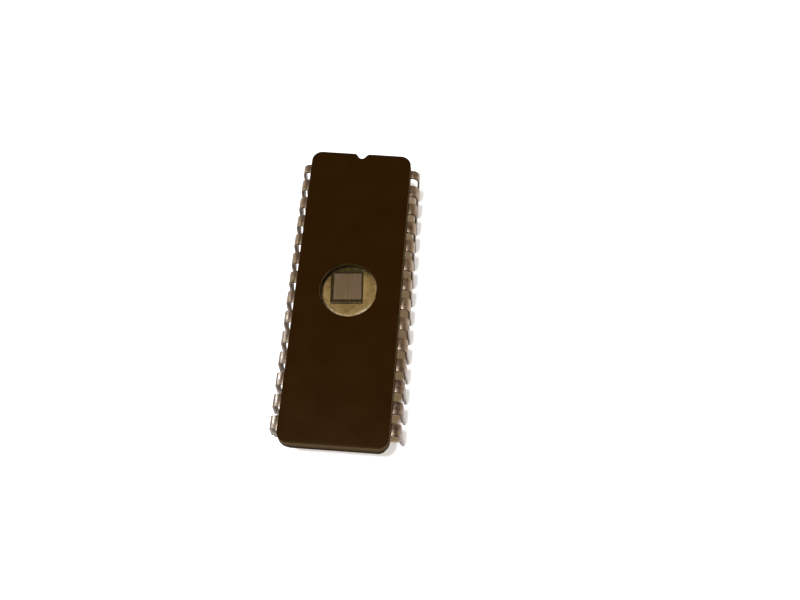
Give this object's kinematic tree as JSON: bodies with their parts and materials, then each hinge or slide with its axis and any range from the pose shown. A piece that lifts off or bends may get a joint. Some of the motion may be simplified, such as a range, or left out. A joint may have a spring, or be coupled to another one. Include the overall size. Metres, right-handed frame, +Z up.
{
  "type": "windowed ceramic dual in-line memory chip",
  "caption": "Erasable memory chip in a dark brown ceramic dual in-line package, with a round glass window over the die and two rows of formed leads.",
  "frame": {"origin": "under the middle of the ceramic outline, on the plane of the lead tips", "axes": "+Z up through the lid, +Y towards the end with the index notch, +X towards pins 15 to 28"},
  "size_m": [0.0154, 0.0372, 0.0085],
  "materials": {
    "brown_ceramic": "matte pressed alumina",
    "window_glass": "clear",
    "seal_glass": "fused frit",
    "gold_layer": "fired gold",
    "die_attach": "dull alloy",
    "silicon": "polished die",
    "bond_wire": "drawn wire",
    "tinned_lead": "tin plate"
  },
  "bodies": {
    "root": {"ceramic_base": "brown_ceramic", "ceramic_lid": "brown_ceramic", "window_glass": "window_glass", "seal_glass": "seal_glass", "cavity_gold": "gold_layer", "die_attach": "die_attach", "die": "silicon", "bond_wires_notch_end": "bond_wire", "bond_wires_far_end": "bond_wire", "lead_01": "tinned_lead", "lead_02": "tinned_lead", "lead_03": "tinned_lead", "lead_04": "tinned_lead", "lead_05": "tinned_lead", "lead_06": "tinned_lead", "lead_07": "tinned_lead", "lead_08": "tinned_lead", "lead_09": "tinned_lead", "lead_10": "tinned_lead", "lead_11": "tinned_lead", "lead_12": "tinned_lead", "lead_13": "tinned_lead", "lead_14": "tinned_lead", "lead_15": "tinned_lead", "lead_16": "tinned_lead", "lead_17": "tinned_lead", "lead_18": "tinned_lead", "lead_19": "tinned_lead", "lead_20": "tinned_lead", "lead_21": "tinned_lead", "lead_22": "tinned_lead", "lead_23": "tinned_lead", "lead_24": "tinned_lead", "lead_25": "tinned_lead", "lead_26": "tinned_lead", "lead_27": "tinned_lead", "lead_28": "tinned_lead"}
  },
  "joints": []
}
